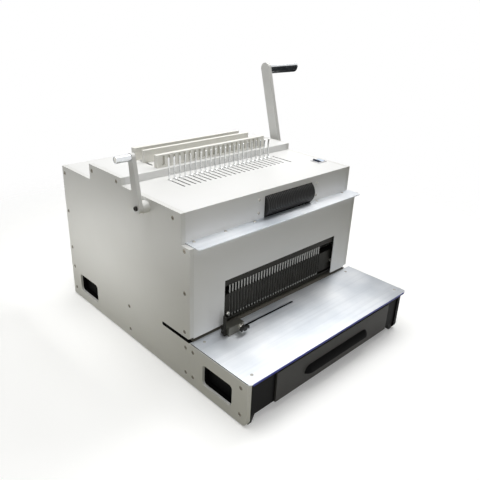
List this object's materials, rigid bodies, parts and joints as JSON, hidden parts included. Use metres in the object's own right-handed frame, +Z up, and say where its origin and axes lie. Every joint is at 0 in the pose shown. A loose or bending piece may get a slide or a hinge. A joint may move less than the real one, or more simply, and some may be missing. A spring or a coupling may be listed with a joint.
{
  "type": "desktop binding machine",
  "caption": "Desktop punching and binding machine with a sheet table, chip drawer, row of comb hooks, wire-closing jaws, coil roller and two crank levers.",
  "frame": {"origin": "floor level under the middle of the whole outline, levers and grips included", "axes": "+X to the operator's right, -Y to the front where the operator stands, +Z up"},
  "size_m": [0.7022, 0.6578, 0.5697],
  "materials": {
    "painted_plate": "satin powder coat",
    "painted_cover": "satin powder coat",
    "painted_bar": "satin paint",
    "stainless_sheet": "brushed along its length",
    "bright_steel": "ground",
    "dark_steel": "black oxide",
    "chrome": "polished",
    "black_panel": "satin black paint",
    "drawer_paint": "fine textured grey paint",
    "black_plastic": "moulded",
    "switch_plastic": "moulded",
    "roller_rubber": "ribbed",
    "foot_rubber": "moulded",
    "bronze": "machined",
    "motor_paint": "cast and painted"
  },
  "bodies": {
    "frame": {"left_side_plate": "painted_plate", "right_side_plate": "painted_plate", "left_base_plate": "painted_plate", "right_base_plate": "painted_plate", "splice_bars": "dark_steel", "rear_cross_beam": "dark_steel", "middle_cross_beam": "dark_steel", "bottom_plate": "bright_steel", "rubber_feet": "foot_rubber", "top_cover": "painted_cover", "riser_cover": "painted_cover", "rear_cover": "painted_cover", "lower_front_panel": "painted_cover", "front_shelf": "stainless_sheet", "table_plate": "stainless_sheet", "front_frame": "black_panel", "drawer_runners": "bright_steel", "side_screws": "dark_steel", "comb_bar": "painted_bar", "rear_jaw": "painted_bar", "tie_bars": "dark_steel", "guide_rods": "bright_steel", "shaft_bearings": "bronze", "guide_block": "dark_steel", "die_plate": "bright_steel", "punch_posts": "bright_steel", "gearbox": "motor_paint", "punch_motor": "motor_paint", "roller_brackets": "bright_steel", "roller_motor": "motor_paint", "switch_bezel": "switch_plastic", "power_inlet": "black_plastic"},
    "left_lever": {"left_lever_arm": "painted_plate", "left_lever_screw": "dark_steel", "comb_shaft": "bright_steel", "sector_gears": "bright_steel", "left_grip_bolt": "dark_steel"},
    "left_grip": {"left_grip": "chrome"},
    "idler": {"idler_shaft": "bright_steel"},
    "hooks": {"hook_carriage": "dark_steel", "comb_hooks": "chrome"},
    "right_lever": {"right_lever_arm": "painted_plate", "right_lever_screw": "dark_steel", "closer_shaft": "bright_steel", "right_grip_bolt": "dark_steel"},
    "right_grip": {"right_grip": "chrome"},
    "jaw": {"moving_jaw": "painted_bar"},
    "punch_drive": {"eccentric_shaft": "bright_steel"},
    "punch": {"punch_bar": "dark_steel", "punch_yokes": "dark_steel", "punch_pins": "bright_steel"},
    "roller": {"roller_sleeve": "roller_rubber", "roller_shaft": "bright_steel"},
    "drawer": {"chip_drawer": "bright_steel", "drawer_front": "drawer_paint", "drawer_handle": "black_plastic"},
    "guide": {"side_guide": "dark_steel"},
    "knob": {"guide_knob": "black_plastic"},
    "switch": {"rocker": "switch_plastic"}
  },
  "joints": [
    {"name": "left_lever_pull", "type": "hinge", "parent": "frame", "child": "left_lever", "pos_m": [-0.3025, -0.02405, 0.346], "axis": [1, 0, 0], "range_deg": [0, 97.8]},
    {"name": "left_grip_spin", "type": "hinge", "parent": "left_lever", "child": "left_grip", "pos_m": [-0.3375, -0.01005, 0.44198], "axis": [1, 0, 0], "continuous": true},
    {"name": "idler_turn", "type": "hinge", "parent": "frame", "child": "idler", "pos_m": [-0.0425, -0.02405, 0.308], "axis": [1, 0, 0], "range_deg": [-168, 0]},
    {"name": "hook_slide", "type": "slide", "parent": "frame", "child": "hooks", "axis": [0, -1, 0], "range_m": [0, 0.041]},
    {"name": "right_lever_pull", "type": "hinge", "parent": "frame", "child": "right_lever", "pos_m": [0.2195, 0.11815, 0.325], "axis": [1, 0, 0], "range_deg": [0, 57.2]},
    {"name": "right_grip_spin", "type": "hinge", "parent": "right_lever", "child": "right_grip", "pos_m": [0.2935, 0.18242, 0.5552], "axis": [1, 0, 0], "continuous": true},
    {"name": "jaw_slide", "type": "slide", "parent": "frame", "child": "jaw", "axis": [0, 1, 0], "range_m": [0, 0.014]},
    {"name": "punch_turn", "type": "hinge", "parent": "frame", "child": "punch_drive", "pos_m": [-0.0425, -0.10905, 0.25], "axis": [1, 0, 0], "range_deg": [0, 180]},
    {"name": "punch_slide", "type": "slide", "parent": "frame", "child": "punch", "axis": [0, 0, -1], "range_m": [0, 0.014]},
    {"name": "roller_spin", "type": "hinge", "parent": "frame", "child": "roller", "pos_m": [-0.0025, -0.11555, 0.3265], "axis": [1, 0, 0], "continuous": true},
    {"name": "drawer_slide", "type": "slide", "parent": "frame", "child": "drawer", "axis": [0, -1, 0], "range_m": [0, 0.15]},
    {"name": "guide_slide", "type": "slide", "parent": "frame", "child": "guide", "axis": [1, 0, 0], "range_m": [-0.005, 0.16]},
    {"name": "knob_turn", "type": "hinge", "parent": "guide", "child": "knob", "pos_m": [-0.1925, -0.19605, 0.113], "axis": [0, -1, 0], "range_deg": [-180, 180]},
    {"name": "switch_tip", "type": "hinge", "parent": "frame", "child": "switch", "pos_m": [0.1835, -0.05805, 0.359], "axis": [0, -1, 0], "range_deg": [0, 16]}
  ],
  "couplings": [
    {"joint": "idler_turn", "follows": "left_lever_pull", "ratio": -1.7143},
    {"joint": "hook_slide", "follows": "left_lever_pull", "m_per_rad": 0.024},
    {"joint": "jaw_slide", "follows": "right_lever_pull", "m_per_rad": 0.014},
    {"joint": "punch_turn", "follows": "punch_slide", "rad_per_m": 224.4}
  ]
}
